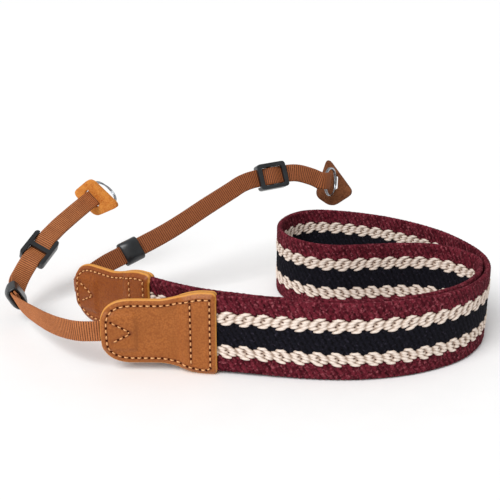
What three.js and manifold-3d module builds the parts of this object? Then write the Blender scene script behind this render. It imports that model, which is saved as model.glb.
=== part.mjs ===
// A woven neck strap with leather tabs and narrow nylon ends, coiled on edge.
// Millimetres. Z is up, X runs from the left ring to the right one, Y away from the viewer.
// The origin lies midway between the two rings that hold the strap's ends up.

import * as THREE from 'three';
import { mergeVertices } from 'three/addons/utils/BufferGeometryUtils.js';
import Module from 'manifold-3d';

const wasm = await Module();
wasm.setup();

// Driving sizes
const GAP = 0.3;
const FLOOR = -47.5;
const BAND = { width: 38, thick: 3, bevel: 1.1, step: 5.2, layerGap: 0.6, liftRun: 55 };
const TAB = { length: 53, height: 40, neck: 31.4, tip: 3.5, corner: 2.4, leather: 1.6, room: 0.5 };
const WEBBING = { width: 10, thick: 1.3, layerGap: 0.4, step: 2.6, tailPastKeeper: 11 };
const SLIDER = {
    length: 18, width: 15, depth: 5.6, rail: 2.2, bar: 2.6, barLevel: 1.15, corner: 2.2, window: 1,
};
const KEEPER = { length: 11, width: 13, wall: 1.1, slot: 4.2, dome: 1.8, corner: 1, slotCorner: 0.6 };
const RING = { radius: 8.2, wire: 1.1, thick: 1.6, sides: 6, segments: 28, setBack: 1.3 };
const PROTECTOR = { thick: 2, corner: 4.5, slotCorner: 1, toLoop: 6.6, ringInSlot: 0.6 };

// How far the band and the webbing go into a tab, and where its outline narrows and rounds off
const IN_TAB = { band: 13.5, webbing: 14, narrowFrom: 6, narrowTo: 27, roundFrom: 38, roundPower: 2.4 };

// The doubled webbing opens into a loop round the ring's wire, and weaves through the slider.
const LOOP = { room: 1.5, opensFrom: 8, openAt: 2.4, steps: 8 };
const WEAVE = 0.85;

// The strap seen from above, from the tip of the front tab to the outer bend and back
const OUTER_RUN = [
    [-48.5, -146.7], [-29, -146.4], [-11, -147.2], [5, -149], [24, -152], [39, -154.2],
];
const CONTACT_RUN = [
    [52, -155.4], [66, -155.6], [81, -153.6], [95, -149.6], [107, -144], [117, -137.4],
    [125, -129.4], [131.4, -119.8], [135.6, -109], [137.3, -97.5],
];
const REAR_RUN = [
    [136.4, -86], [132.6, -73], [125.8, -58], [115.2, -44], [98.5, -29.5], [79, -19.8], [61, -15.6],
];
const HAIRPIN = [
    [50, -18], [42, -26], [37, -37], [35.6, -49], [38, -60], [44.5, -70],
];
const MIDDLE_RUN = [
    [54, -77], [66, -79.6], [82, -78], [98, -76], [112, -76.6], [122, -80.6], [129, -88],
];
const BACK_RUN = [
    [40, -150.4], [28, -148.4], [14, -144.8], [0, -141], [-14, -135.2], [-28, -126.4],
    [-43, -115.3], [-56, -105.4], [-69.1, -95.3],
];

// Free stretch of each nylon end. lean is the turn of its width from upright, in degrees.
const LEFT_WEBBING = {
    rows: [
        { x: -58.5, y: -145.6, z: -28, lean: 0 },
        { x: -67.5, y: -139.8, z: -29, lean: 0 },
        { x: -76, y: -130.8, z: -30.4, lean: -2 },
        { x: -84.5, y: -120.3, z: -31.4, lean: -6 },
        { x: -93.4, y: -108.5, z: -32.4, lean: -14 },
        { x: -100.2, y: -97.2, z: -33.6, lean: -24 },
        { x: -102.3, y: -91, z: -33.6, lean: -27 },
        { x: -104.3, y: -84.8, z: -33.4, lean: -30 },
        { x: -105, y: -78, z: -31.4, lean: -44 },
        { x: -103.6, y: -72, z: -28, lean: -54 },
        { x: -101.3, y: -66.6, z: -24.3, lean: -58 },
        { x: -97.5, y: -58.5, z: -19.8, lean: -58 },
        { x: -93.7, y: -50.4, z: -15.3, lean: -58 },
        { x: -90.3, y: -43.8, z: -12.2, lean: -55 },
        { x: -85, y: -34.2, z: -8.6, lean: -51 },
        { x: -80.2, y: -25.8, z: -5.6, lean: -48 },
        { x: -75.4, y: -17, z: -3, lean: -46 },
        { x: -71.7, y: -9.6, z: -2.2, lean: -45 },
    ],
    keeperRow: 6,
    sliderRow: 11,
    outward: 1,
    ringTurn: [0.27, 0.94, -0.07],
};
const RIGHT_WEBBING = {
    rows: [
        { x: -70.6, y: -94.1, z: -27.4, lean: 0 },
        { x: -71, y: -92.2, z: -27.1, lean: -2 },
        { x: -69.6, y: -90.6, z: -26.4, lean: -6 },
        { x: -63.6, y: -84.4, z: -23.6, lean: -20 },
        { x: -57.4, y: -77.6, z: -21.2, lean: -28 },
        { x: -50.4, y: -71.4, z: -19.1, lean: -31 },
        { x: -45.3, y: -67.8, z: -17.4, lean: -32 },
        { x: -40.2, y: -64.2, z: -15.7, lean: -33 },
        { x: -28.8, y: -57.2, z: -11.3, lean: -32 },
        { x: -19.3, y: -51.6, z: -6.8, lean: -31 },
        { x: -6, y: -43.2, z: 0.1, lean: -31 },
        { x: 7.6, y: -34.7, z: 6.8, lean: -29 },
        { x: 14.6, y: -30.6, z: 10.3, lean: -26 },
        { x: 21.6, y: -26.7, z: 11.9, lean: -25 },
        { x: 31.6, y: -21.9, z: 12.5, lean: -25 },
        { x: 41.6, y: -17.1, z: 13.1, lean: -25 },
        { x: 47.8, y: -14.8, z: 12.4, lean: -22 },
        { x: 56.2, y: -13.2, z: 9.6, lean: -16 },
        { x: 61.4, y: -12, z: 7.1, lean: -13 },
        { x: 64.6, y: -9.6, z: 6.2, lean: -12 },
    ],
    keeperRow: 6,
    sliderRow: 14,
    outward: -1,
    ringTurn: [0.47, 0.87, -0.1],
};

// The leather pieces behind the rings: corners and slot as down the slot, then across it
const LEFT_PROTECTOR = {
    corners: [[-11.6, 8.5], [-8.8, -9.8], [15.5, -11.8], [8.5, 8]],
    slot: [11.2, 4.7],
};
const RIGHT_PROTECTOR = {
    corners: [[-15.6, 6.4], [6, -12], [15.2, 2], [8.5, 13.6]],
    slot: [7.8, 2.8],
};

const UP = new THREE.Vector3(0, 0, 1);

const BURGUNDY = { color: 0x642130, roughness: 0.95, metalness: 0 };
const FRONT_LEATHER = { color: 0xa36032, roughness: 0.6, metalness: 0 };
const SUEDE = { color: 0xd78c46, roughness: 0.9, metalness: 0 };
const BROWN_HIDE = { color: 0x6e4128, roughness: 0.7, metalness: 0 };
const NYLON = { color: 0xb0643a, roughness: 0.8, metalness: 0 };
const PLASTIC = { color: 0x23282d, roughness: 0.35, metalness: 0 };
const STEEL = { color: 0xc8ccd0, roughness: 0.2, metalness: 1 };

const strap = new THREE.Group();
strap.name = 'camera_strap';

function addMesh(name, geometry, finish) {
    const mesh = new THREE.Mesh(geometry, new THREE.MeshStandardMaterial(finish));
    mesh.name = name;
    strap.add(mesh);
    return mesh;
}

function smooth(from, to, value) {
    return THREE.MathUtils.smoothstep(value, from, to);
}

// Solids lofted through sections

// A frame is a place on a path, with the face's normal and the direction of its width.
function makeFrame(point, tangent, width) {
    return { point, tangent, width, normal: width.clone().cross(tangent).normalize() };
}

function placed(frame, [across, along]) {
    return frame.point.clone()
        .addScaledVector(frame.normal, across)
        .addScaledVector(frame.width, along);
}

// Each section holds its front side, then its back side, both from the low edge to the high one.
function loft(frames, sectionAt) {
    const positions = [];
    const indices = [];
    let count = 0;
    frames.forEach((frame, index) => {
        const { front, back } = sectionAt(frame, index);
        const ring = [...front, ...[...back].reverse()];
        count = ring.length;
        ring.forEach((corner) => positions.push(...placed(frame, corner).toArray()));
    });
    const last = (frames.length - 1) * count;
    for (let row = 0; row < last; row += count) {
        for (let i = 0; i < count; i++) {
            const a = row + i;
            const b = row + ((i + 1) % count);
            indices.push(a, b, b + count, a, b + count, a + count);
        }
    }
    for (let i = 0; i < count / 2 - 1; i++) {
        const mirror = count - 1 - i;
        indices.push(mirror, i + 1, i, mirror, mirror - 1, i + 1);
        indices.push(last + i, last + i + 1, last + mirror);
        indices.push(last + i + 1, last + mirror - 1, last + mirror);
    }
    const geometry = new THREE.BufferGeometry();
    geometry.setAttribute('position', new THREE.Float32BufferAttribute(positions, 3));
    geometry.setIndex(indices);
    return geometry;
}

function flatSection(width, thick) {
    const half = thick / 2;
    const front = [[half, -width / 2], [half, width / 2]];
    const back = front.map(([across, along]) => [-across, along]);
    return { front, back };
}

// The strap's route

// The inner layer lies against the outer one, a layer's gap inside it.
function insideOf(run) {
    const offset = BAND.thick + BAND.layerGap;
    return run.map(([x, y], i) => {
        const [x0, y0] = run[Math.max(i - 1, 0)];
        const [x1, y1] = run[Math.min(i + 1, run.length - 1)];
        const length = Math.hypot(x1 - x0, y1 - y0);
        return [x - offset * (y1 - y0) / length, y + offset * (x1 - x0) / length];
    }).reverse();
}

function strapRoute() {
    const plan = [
        ...OUTER_RUN, ...CONTACT_RUN, ...REAR_RUN, ...HAIRPIN, ...MIDDLE_RUN,
        ...insideOf(CONTACT_RUN), ...BACK_RUN,
    ];
    const points = plan.map(([x, y]) => new THREE.Vector3(x, y, 0));
    const route = new THREE.CatmullRomCurve3(points, false, 'centripetal');
    route.arcLengthDivisions = 1600;
    return route;
}

const route = strapRoute();
const routeLength = route.getLength();

// The tabs are taller than the band, so its edge lifts from the floor where it enters them.
function bandCentre(distance) {
    const fromEnd = Math.min(distance, routeLength - distance) - TAB.length;
    const lift = (TAB.height - BAND.width) / 2 * (1 - smooth(0, BAND.liftRun, fromEnd));
    return FLOOR + BAND.width / 2 + lift;
}

function routeFrame(distance, backwards = false) {
    const u = THREE.MathUtils.clamp(distance / routeLength, 0, 1);
    const point = route.getPointAt(u);
    point.z = bandCentre(distance);
    const tangent = route.getTangentAt(u);
    if (backwards) {
        tangent.negate();
    }
    return makeFrame(point, tangent, UP.clone());
}

// Woven band

function bandGeometry() {
    const first = TAB.length - IN_TAB.band;
    const last = routeLength - first;
    const steps = Math.round((last - first) / BAND.step);
    const frames = [];
    for (let i = 0; i <= steps; i++) {
        frames.push(routeFrame(first + (last - first) * i / steps));
    }
    const half = BAND.thick / 2;
    const edge = BAND.width / 2;
    const { bevel } = BAND;
    const front = [[half - bevel, -edge], [half, bevel - edge], [half, edge - bevel], [half - bevel, edge]];
    const back = front.map(([across, along]) => [-across, along]);
    return loft(frames, () => ({ front, back }));
}

// Leather tabs

// Half the tab's height at a distance from the end where the band goes in
function tabHalfHeight(distance) {
    const full = TAB.height / 2;
    const neck = TAB.neck / 2;
    const cornerLeft = Math.max(TAB.corner - distance, 0);
    const corner = TAB.corner - Math.sqrt(TAB.corner ** 2 - cornerLeft ** 2);
    const waist = full + (neck - full) * smooth(IN_TAB.narrowFrom, IN_TAB.narrowTo, distance);
    const round = Math.max((distance - IN_TAB.roundFrom) / (TAB.length - IN_TAB.roundFrom), 0);
    const end = (neck - TAB.tip) * (1 - (1 - round ** IN_TAB.roundPower) ** (1 / IN_TAB.roundPower));
    return waist - corner - end;
}

// How far a leaf stands off the tab's middle, over the band, over the webbing and where the leaves meet
function leafLift(distance, height) {
    const edge = Math.abs(height);
    const overBand = 1 - smooth(IN_TAB.band + 0.5, IN_TAB.band + 5, distance);
    const pinch = 1 - 0.35 * smooth(BAND.width / 2, TAB.height / 2, edge);
    const band = overBand * pinch * (BAND.thick / 2 + TAB.room);
    const webbingEnd = TAB.length - IN_TAB.webbing;
    const overWebbing = smooth(webbingEnd - 4, webbingEnd - 0.5, distance);
    const besideWebbing = smooth(WEBBING.width / 2 + 2, WEBBING.width / 2 + 6, edge);
    const webbing = overWebbing * (1 - besideWebbing) * (WEBBING.thick / 2 + TAB.room);
    return Math.max(band, webbing, GAP / 2);
}

const TAB_STATIONS = [0, 0.6, 2.4, 6, 10, 14, 16.5, 19, 23, 27, 31, 35, 38.7, 42, 45, 47.5, 49.7, 51.5, 53];
const TAB_LEVELS = [-1, -0.9, -0.65, -0.36, 0, 0.36, 0.65, 0.9, 1];

// side is 1 for the leaf that faces the viewer, and -1 for the one behind it
function leafGeometry(tabFrame, side) {
    const frames = TAB_STATIONS.map((distance) => ({ ...tabFrame(distance), distance }));
    return loft(frames, ({ distance }) => {
        const half = tabHalfHeight(distance);
        const inner = TAB_LEVELS.map((level) => {
            const height = level * half;
            return [side * leafLift(distance, height), height];
        });
        const outer = inner.map(([across, height]) => [across + side * TAB.leather, height]);
        return side > 0 ? { front: outer, back: inner } : { front: inner, back: outer };
    });
}

function addTab(name, tabFrame) {
    addMesh(`${name}_outer_leaf`, leafGeometry(tabFrame, 1), FRONT_LEATHER);
    addMesh(`${name}_inner_leaf`, leafGeometry(tabFrame, -1), FRONT_LEATHER);
}

// Nylon ends

// A webbing's path starts inside its tab and ends on the wire of its ring.
function webbingPath(side, tabFrame) {
    const start = [IN_TAB.webbing, IN_TAB.webbing / 2, 1].map((inside) => {
        const { point } = tabFrame(TAB.length - inside);
        return { x: point.x, y: point.y, z: point.z, lean: 0 };
    });
    const rows = [...start, ...side.rows];
    const points = rows.map(({ x, y, z }) => new THREE.Vector3(x, y, z));
    const curve = new THREE.CatmullRomCurve3(points, false, 'centripetal');
    curve.arcLengthDivisions = 800;
    const length = curve.getLength();
    const last = rows.length - 1;

    function frameAt(t) {
        const tangent = curve.getTangent(t);
        const upright = UP.clone().addScaledVector(tangent, -tangent.z).normalize();
        const row = Math.min(Math.floor(t * last), last - 1);
        const lean = THREE.MathUtils.lerp(rows[row].lean, rows[row + 1].lean, t * last - row);
        const width = upright.applyAxisAngle(tangent, THREE.MathUtils.degToRad(lean));
        return makeFrame(curve.getPoint(t), tangent, width.multiplyScalar(side.outward));
    }

    function frameAtDistance(distance) {
        const u = THREE.MathUtils.clamp(distance / length, 0, 1);
        return frameAt(curve.getUtoTmapping(u));
    }

    // Distance along the path of a row of the side's table
    function distanceOf(row) {
        const lengths = curve.getLengths();
        return lengths[Math.round((row + start.length) / last * (lengths.length - 1))];
    }

    return { frameAtDistance, distanceOf, length };
}

// How far the doubled webbing stands off its path where it weaves through the slider
function weave(fromBar) {
    const halfPitch = (SLIDER.length - SLIDER.bar) / 2;
    const reach = Math.abs(fromBar);
    if (reach < halfPitch) {
        return WEAVE * Math.cos(Math.PI * reach / halfPitch);
    }
    return -WEAVE * (1 - smooth(halfPitch, 2 * halfPitch, reach));
}

// The webbing goes out to the ring as one layer, round its wire, and back as a second layer.
function webbingGeometry(path, sliderAt, tailEnd) {
    const section = flatSection(WEBBING.width, WEBBING.thick);
    const loopRadius = LOOP.room + WEBBING.thick / 2;
    const layer = (WEBBING.thick + WEBBING.layerGap) / 2;
    const doubledLength = path.length - tailEnd;
    const single = Math.round(tailEnd / WEBBING.step);
    const doubled = Math.round(doubledLength / WEBBING.step);
    const frames = [];

    function singleFrame(distance) {
        const frame = path.frameAtDistance(distance);
        frame.point.addScaledVector(frame.normal, layer * smooth(IN_TAB.webbing, tailEnd, distance));
        return frame;
    }

    function layerFrame(distance, side) {
        const frame = path.frameAtDistance(distance);
        const open = smooth(path.length - LOOP.opensFrom, path.length - LOOP.openAt, distance);
        const offset = side * (layer + open * (loopRadius - layer)) + weave(distance - sliderAt);
        frame.point.addScaledVector(frame.normal, offset);
        frame.normal.multiplyScalar(side);
        return frame;
    }

    function loopFrame(angle) {
        const end = path.frameAtDistance(path.length);
        const normal = end.normal.clone().applyAxisAngle(end.width, angle);
        end.point.addScaledVector(normal, loopRadius);
        return { ...end, normal };
    }

    for (let i = 0; i < single; i++) {
        frames.push(singleFrame(tailEnd * i / single));
    }
    for (let i = 0; i <= doubled; i++) {
        frames.push(layerFrame(tailEnd + doubledLength * i / doubled, 1));
    }
    for (let i = 1; i < LOOP.steps; i++) {
        frames.push(loopFrame(-Math.PI * i / LOOP.steps));
    }
    for (let i = doubled; i >= 0; i--) {
        frames.push(layerFrame(tailEnd + doubledLength * i / doubled, -1));
    }
    return loft(frames, () => section);
}

// Hard pieces on the webbing

function solidOf(geometry) {
    const bare = geometry.clone();
    bare.deleteAttribute('normal');
    bare.deleteAttribute('uv');
    const merged = mergeVertices(bare, 1e-4);
    return new wasm.Manifold(new wasm.Mesh({
        numProp: 3,
        vertProperties: new Float32Array(merged.attributes.position.array),
        triVerts: new Uint32Array(merged.index.array),
    }));
}

function geometryOf(solid) {
    const { vertProperties, triVerts } = solid.getMesh();
    const geometry = new THREE.BufferGeometry();
    geometry.setAttribute('position', new THREE.BufferAttribute(vertProperties, 3));
    geometry.setIndex(new THREE.BufferAttribute(triVerts, 1));
    return geometry;
}

function block(size, level) {
    return solidOf(new THREE.BoxGeometry(...size).translate(0, 0, level));
}

// A closed outline along straight lines between the corners, each rounded by one curve
function roundedShape(corners, radius) {
    const shape = new THREE.Shape();
    corners.forEach(([x, y], i) => {
        const corner = new THREE.Vector2(x, y);
        const before = new THREE.Vector2(...corners.at(i - 1));
        const after = new THREE.Vector2(...corners[(i + 1) % corners.length]);
        const start = corner.clone().add(before.sub(corner).setLength(radius));
        const end = corner.clone().add(after.sub(corner).setLength(radius));
        if (i === 0) {
            shape.moveTo(start.x, start.y);
        } else {
            shape.lineTo(start.x, start.y);
        }
        shape.quadraticCurveTo(corner.x, corner.y, end.x, end.y);
    });
    shape.closePath();
    return shape;
}

function rectangle(width, height) {
    const x = width / 2;
    const y = height / 2;
    return [[-x, -y], [x, -y], [x, y], [-x, y]];
}

function extruded(shape, depth) {
    const curveSegments = 5;
    const geometry = new THREE.ExtrudeGeometry(shape, { depth, bevelEnabled: false, curveSegments });
    return geometry.translate(0, 0, -depth / 2);
}

// X along the webbing, Y across it, Z off its face; the end bars lie in front and the middle bar behind.
function sliderGeometry() {
    const { length, width, rail, bar, depth, barLevel, corner, window } = SLIDER;
    const inside = width - 2 * rail;
    const frame = roundedShape(rectangle(length, width), corner);
    frame.holes.push(roundedShape(rectangle(length - 2 * bar, inside), window));
    const channel = block([2 * length, inside, depth], barLevel - depth / 2);
    const barDepth = depth / 2 - barLevel;
    const middleBar = block([bar, inside + rail, barDepth], -barLevel - barDepth / 2);
    return geometryOf(solidOf(extruded(frame, depth)).subtract(channel).add(middleBar));
}

// X across the webbing, Y off its face, Z along it; the front wall is domed.
function keeperGeometry() {
    const { length, width, wall, slot, dome, corner, slotCorner } = KEEPER;
    const x = width / 2;
    const y = slot / 2 + wall;
    const outline = new THREE.Shape();
    outline.moveTo(corner - x, -y);
    outline.lineTo(x - corner, -y);
    outline.quadraticCurveTo(x, -y, x, corner - y);
    outline.lineTo(x, y - corner);
    outline.bezierCurveTo(x, y + dome / 2, x / 2, y + dome, 0, y + dome);
    outline.bezierCurveTo(-x / 2, y + dome, -x, y + dome / 2, -x, y - corner);
    outline.lineTo(-x, corner - y);
    outline.quadraticCurveTo(-x, -y, corner - x, -y);
    outline.holes.push(roundedShape(rectangle(width - 2 * wall, slot), slotCorner));
    return extruded(outline, length);
}

function protectorGeometry({ corners, slot }) {
    const outline = roundedShape(corners, PROTECTOR.corner);
    outline.holes.push(roundedShape(rectangle(...slot), PROTECTOR.slotCorner));
    return extruded(outline, PROTECTOR.thick);
}

function ringGeometry() {
    const profile = [];
    for (let i = 0; i <= RING.sides; i++) {
        const angle = 2 * Math.PI * (i % RING.sides) / RING.sides;
        const radius = RING.radius + RING.wire / 2 * Math.cos(angle);
        profile.push(new THREE.Vector2(radius, RING.thick / 2 * Math.sin(angle)));
    }
    return new THREE.LatheGeometry(profile, RING.segments);
}

function orient(mesh, point, x, y, z) {
    mesh.quaternion.setFromRotationMatrix(new THREE.Matrix4().makeBasis(x, y, z));
    mesh.position.copy(point);
}

function addSlider(name, frame) {
    const mesh = addMesh(name, sliderGeometry(), PLASTIC);
    orient(mesh, frame.point, frame.tangent, frame.normal.clone().cross(frame.tangent), frame.normal);
}

function addKeeper(name, frame) {
    const mesh = addMesh(name, keeperGeometry(), PLASTIC);
    orient(mesh, frame.point, frame.normal.clone().cross(frame.tangent), frame.normal, frame.tangent);
}

// The leather piece lies square to the way that it faces, with its slot along the webbing's width.
function addProtector(name, leather, point, width, facing, form) {
    const mesh = addMesh(name, protectorGeometry(form), leather);
    const down = width.clone().addScaledVector(facing, -width.dot(facing)).normalize().negate();
    orient(mesh, point, down, facing.clone().cross(down), facing);
}

// The ring stands in the webbing's loop, with its wire set back to where the loop's sides clear it.
function addRing(name, end, turn) {
    const mesh = addMesh(name, ringGeometry(), STEEL);
    const outwards = new THREE.Vector3(...turn);
    outwards.addScaledVector(end.width, -outwards.dot(end.width)).normalize();
    const centre = end.point.clone().addScaledVector(outwards, RING.radius - RING.setBack);
    orient(mesh, centre, outwards, end.width.clone().cross(outwards), end.width);
    return { centre, outwards };
}

function addEnd(name, side, tabFrame) {
    const path = webbingPath(side, tabFrame);
    const keeperAt = path.distanceOf(side.keeperRow);
    const sliderAt = path.distanceOf(side.sliderRow);
    const tailEnd = keeperAt - WEBBING.tailPastKeeper;
    addMesh(`webbing_${name}`, webbingGeometry(path, sliderAt, tailEnd), NYLON);
    addKeeper(`keeper_${name}`, path.frameAtDistance(keeperAt));
    addSlider(`slider_${name}`, path.frameAtDistance(sliderAt));
    const ring = addRing(`ring_${name}`, path.frameAtDistance(path.length), side.ringTurn);
    return { path, ring };
}

const frontTabFrame = (distance) => routeFrame(TAB.length - distance, true);
const backTabFrame = (distance) => routeFrame(routeLength - TAB.length + distance);

addMesh('neck_band', bandGeometry(), BURGUNDY);
addTab('front_tab', frontTabFrame);
addTab('back_tab', backTabFrame);

// The left leather piece is threaded on the webbing, and the right one on the far side of its ring.
const left = addEnd('left', LEFT_WEBBING, frontTabFrame);
const right = addEnd('right', RIGHT_WEBBING, backTabFrame);
const beforeLoop = left.path.frameAtDistance(left.path.length - PROTECTOR.toLoop);
const { point, width, tangent } = beforeLoop;
addProtector('protector_left', SUEDE, point, width, tangent, LEFT_PROTECTOR);
const farReach = RING.radius + (RING.wire + PROTECTOR.thick) / 2 - PROTECTOR.ringInSlot;
const farSide = right.ring.centre.clone().addScaledVector(right.ring.outwards, farReach);
const rightWidth = right.path.frameAtDistance(right.path.length).width.negate();
addProtector('protector_right', BROWN_HIDE, farSide, rightWidth, right.ring.outwards, RIGHT_PROTECTOR);

export default strap;
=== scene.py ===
"""Looks of the coiled neck strap: woven band, sewn leather tabs, ribbed webbing and fittings."""

import math

import bmesh
import bpy
import numpy as np
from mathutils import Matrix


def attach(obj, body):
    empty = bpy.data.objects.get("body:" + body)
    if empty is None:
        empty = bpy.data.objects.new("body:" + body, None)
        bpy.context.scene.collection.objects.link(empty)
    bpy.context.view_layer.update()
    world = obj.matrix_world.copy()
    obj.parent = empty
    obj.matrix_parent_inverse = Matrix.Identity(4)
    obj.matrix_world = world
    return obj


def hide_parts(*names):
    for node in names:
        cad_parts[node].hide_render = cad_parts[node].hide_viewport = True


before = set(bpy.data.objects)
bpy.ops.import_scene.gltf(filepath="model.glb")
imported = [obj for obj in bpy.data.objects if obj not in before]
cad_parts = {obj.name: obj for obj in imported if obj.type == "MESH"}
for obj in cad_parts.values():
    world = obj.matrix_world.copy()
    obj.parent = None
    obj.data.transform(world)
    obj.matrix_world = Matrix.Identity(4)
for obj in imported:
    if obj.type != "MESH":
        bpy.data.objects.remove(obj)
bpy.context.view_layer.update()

# Sizes in millimetres, the same as in the CAD. Meshes are written in metres.
MM = 0.001
FLOOR = -47.5
BAND_WIDTH, BAND_THICK, LAYER_GAP, LIFT_RUN = 38.0, 3.0, 0.6, 55.0
TAB_LENGTH, TAB_HEIGHT, TAB_NECK, TAB_TIP, TAB_CORNER, LEATHER = 53.0, 40.0, 31.4, 3.5, 2.4, 1.6
TAB_ROOM, GAP = 0.5, 0.3
BAND_IN_TAB, WEBBING_IN_TAB = 13.5, 14.0
NARROW_FROM, NARROW_TO, ROUND_FROM, ROUND_POWER = 6.0, 27.0, 38.0, 2.4
WEBBING_WIDTH, WEBBING_THICK, WEBBING_GAP, TAIL_PAST_KEEPER = 10.0, 1.3, 0.4, 11.0
SLIDER_LENGTH, SLIDER_BAR, WEAVE = 18.0, 2.6, 0.85
LOOP_RADIUS, LOOP_OPENS, LOOP_OPEN = 2.15, 8.0, 2.4
RING_RADIUS, RING_WIRE, RING_THICK, RING_SET_BACK = 8.2, 1.1, 1.6, 1.3

UP = np.array([0.0, 0.0, 1.0])

OUTER_RUN = [
    (-48.5, -146.7), (-29, -146.4), (-11, -147.2), (5, -149), (24, -152), (39, -154.2),
]
CONTACT_RUN = [
    (52, -155.4), (66, -155.6), (81, -153.6), (95, -149.6), (107, -144), (117, -137.4),
    (125, -129.4), (131.4, -119.8), (135.6, -109), (137.3, -97.5),
]
REAR_RUN = [
    (136.4, -86), (132.6, -73), (125.8, -58), (115.2, -44), (98.5, -29.5), (79, -19.8), (61, -15.6),
]
HAIRPIN = [
    (50, -18), (42, -26), (37, -37), (35.6, -49), (38, -60), (44.5, -70),
]
MIDDLE_RUN = [
    (54, -77), (66, -79.6), (82, -78), (98, -76), (112, -76.6), (122, -80.6), (129, -88),
]
BACK_RUN = [
    (40, -150.4), (28, -148.4), (14, -144.8), (0, -141), (-14, -135.2), (-28, -126.4),
    (-43, -115.3), (-56, -105.4), (-69.1, -95.3),
]

# Each nylon end from its tab to its ring: x, y, z and the lean of its width from upright in degrees
LEFT_ROWS = [
    (-58.5, -145.6, -28, 0), (-67.5, -139.8, -29, 0), (-76, -130.8, -30.4, -2),
    (-84.5, -120.3, -31.4, -6), (-93.4, -108.5, -32.4, -14), (-100.2, -97.2, -33.6, -24),
    (-102.3, -91, -33.6, -27), (-104.3, -84.8, -33.4, -30), (-105, -78, -31.4, -44),
    (-103.6, -72, -28, -54), (-101.3, -66.6, -24.3, -58), (-97.5, -58.5, -19.8, -58),
    (-93.7, -50.4, -15.3, -58), (-90.3, -43.8, -12.2, -55), (-85, -34.2, -8.6, -51),
    (-80.2, -25.8, -5.6, -48), (-75.4, -17, -3, -46), (-71.7, -9.6, -2.2, -45),
]
RIGHT_ROWS = [
    (-70.6, -94.1, -27.4, 0), (-71, -92.2, -27.1, -2), (-69.6, -90.6, -26.4, -6),
    (-63.6, -84.4, -23.6, -20), (-57.4, -77.6, -21.2, -28), (-50.4, -71.4, -19.1, -31),
    (-45.3, -67.8, -17.4, -32), (-40.2, -64.2, -15.7, -33), (-28.8, -57.2, -11.3, -32),
    (-19.3, -51.6, -6.8, -31), (-6, -43.2, 0.1, -31), (7.6, -34.7, 6.8, -29),
    (14.6, -30.6, 10.3, -26), (21.6, -26.7, 11.9, -25), (31.6, -21.9, 12.5, -25),
    (41.6, -17.1, 13.1, -25), (47.8, -14.8, 12.4, -22), (56.2, -13.2, 9.6, -16),
    (61.4, -12, 7.1, -13), (64.6, -9.6, 6.2, -12),
]


def smooth(low, high, value):
    part = np.clip((value - low) / (high - low), 0, 1)
    return part * part * (3 - 2 * part)


def unit(vectors):
    return vectors / np.linalg.norm(vectors, axis=-1, keepdims=True)


def boxy(wave, power):
    """A sine or cosine bent towards a box's outline, squarer with a smaller power"""
    return np.sign(wave) * np.abs(wave) ** power


# Curves

class Spline:
    """The CAD's centripetal Catmull-Rom curve, measured along its length."""

    def __init__(self, points, divisions):
        points = np.array(points, float)
        before = 2 * points[0] - points[1]
        after = 2 * points[-1] - points[-2]
        self.knots = np.vstack([before, points, after])
        self.table = np.linspace(0, 1, divisions + 1)
        steps = np.diff(self.point(self.table), axis=0)
        self.lengths = np.concatenate([[0], np.cumsum(np.linalg.norm(steps, axis=1))])
        self.length = self.lengths[-1]

    def point(self, t):
        spans = len(self.knots) - 3
        place = np.clip(t, 0, 1) * spans
        i = np.minimum(place.astype(int), spans - 1)
        w = (place - i)[:, None]
        x0, x1, x2, x3 = (self.knots[i + k] for k in range(4))
        d0 = np.sqrt(np.linalg.norm(x1 - x0, axis=1))[:, None]
        d1 = np.sqrt(np.linalg.norm(x2 - x1, axis=1))[:, None]
        d2 = np.sqrt(np.linalg.norm(x3 - x2, axis=1))[:, None]
        t1 = ((x1 - x0) / d0 - (x2 - x0) / (d0 + d1) + (x2 - x1) / d1) * d1
        t2 = ((x2 - x1) / d1 - (x3 - x1) / (d1 + d2) + (x3 - x2) / d2) * d1
        square = 3 * (x2 - x1) - 2 * t1 - t2
        cube = 2 * (x1 - x2) + t1 + t2
        return x1 + w * (t1 + w * (square + w * cube))

    def parameter(self, distance):
        return np.interp(distance, self.lengths, self.table)

    def tangent(self, t):
        delta = 0.0001
        return unit(self.point(t + delta) - self.point(t - delta))


def inside_of(run):
    """The inner layer's route, a layer's gap inside the outer one"""
    offset = BAND_THICK + LAYER_GAP
    inner = []
    for i, (x, y) in enumerate(run):
        x0, y0 = run[max(i - 1, 0)]
        x1, y1 = run[min(i + 1, len(run) - 1)]
        length = math.hypot(x1 - x0, y1 - y0)
        inner.append((x - offset * (y1 - y0) / length, y + offset * (x1 - x0) / length))
    return inner[::-1]


plan = OUTER_RUN + CONTACT_RUN + REAR_RUN + HAIRPIN + MIDDLE_RUN + inside_of(CONTACT_RUN) + BACK_RUN
route = Spline([(x, y, 0) for x, y in plan], 1600)


def route_frames(distance, way=1):
    """Points, tangents and face normals of the band's middle line, way -1 to run it backwards"""
    distance = np.clip(distance, 0, route.length)
    t = route.parameter(distance)
    points = route.point(t)
    from_end = np.minimum(distance, route.length - distance) - TAB_LENGTH
    lift = (TAB_HEIGHT - BAND_WIDTH) / 2 * (1 - smooth(0, LIFT_RUN, from_end))
    points[:, 2] = FLOOR + BAND_WIDTH / 2 + lift
    tangents = route.tangent(t) * way
    return points, tangents, np.cross(UP, tangents)


# Meshes

def grid_quads(rows, columns, closed):
    """Quads of a grid of vertices, row after row, with each row a closed ring or left open"""
    row = np.arange(rows - 1)[:, None] * columns
    column = np.arange(columns if closed else columns - 1)[None, :]
    after = (column + 1) % columns
    corners = [row + column, row + after, row + columns + after, row + columns + column]
    return np.stack(np.broadcast_arrays(*corners), axis=-1).reshape(-1, 4)


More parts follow.
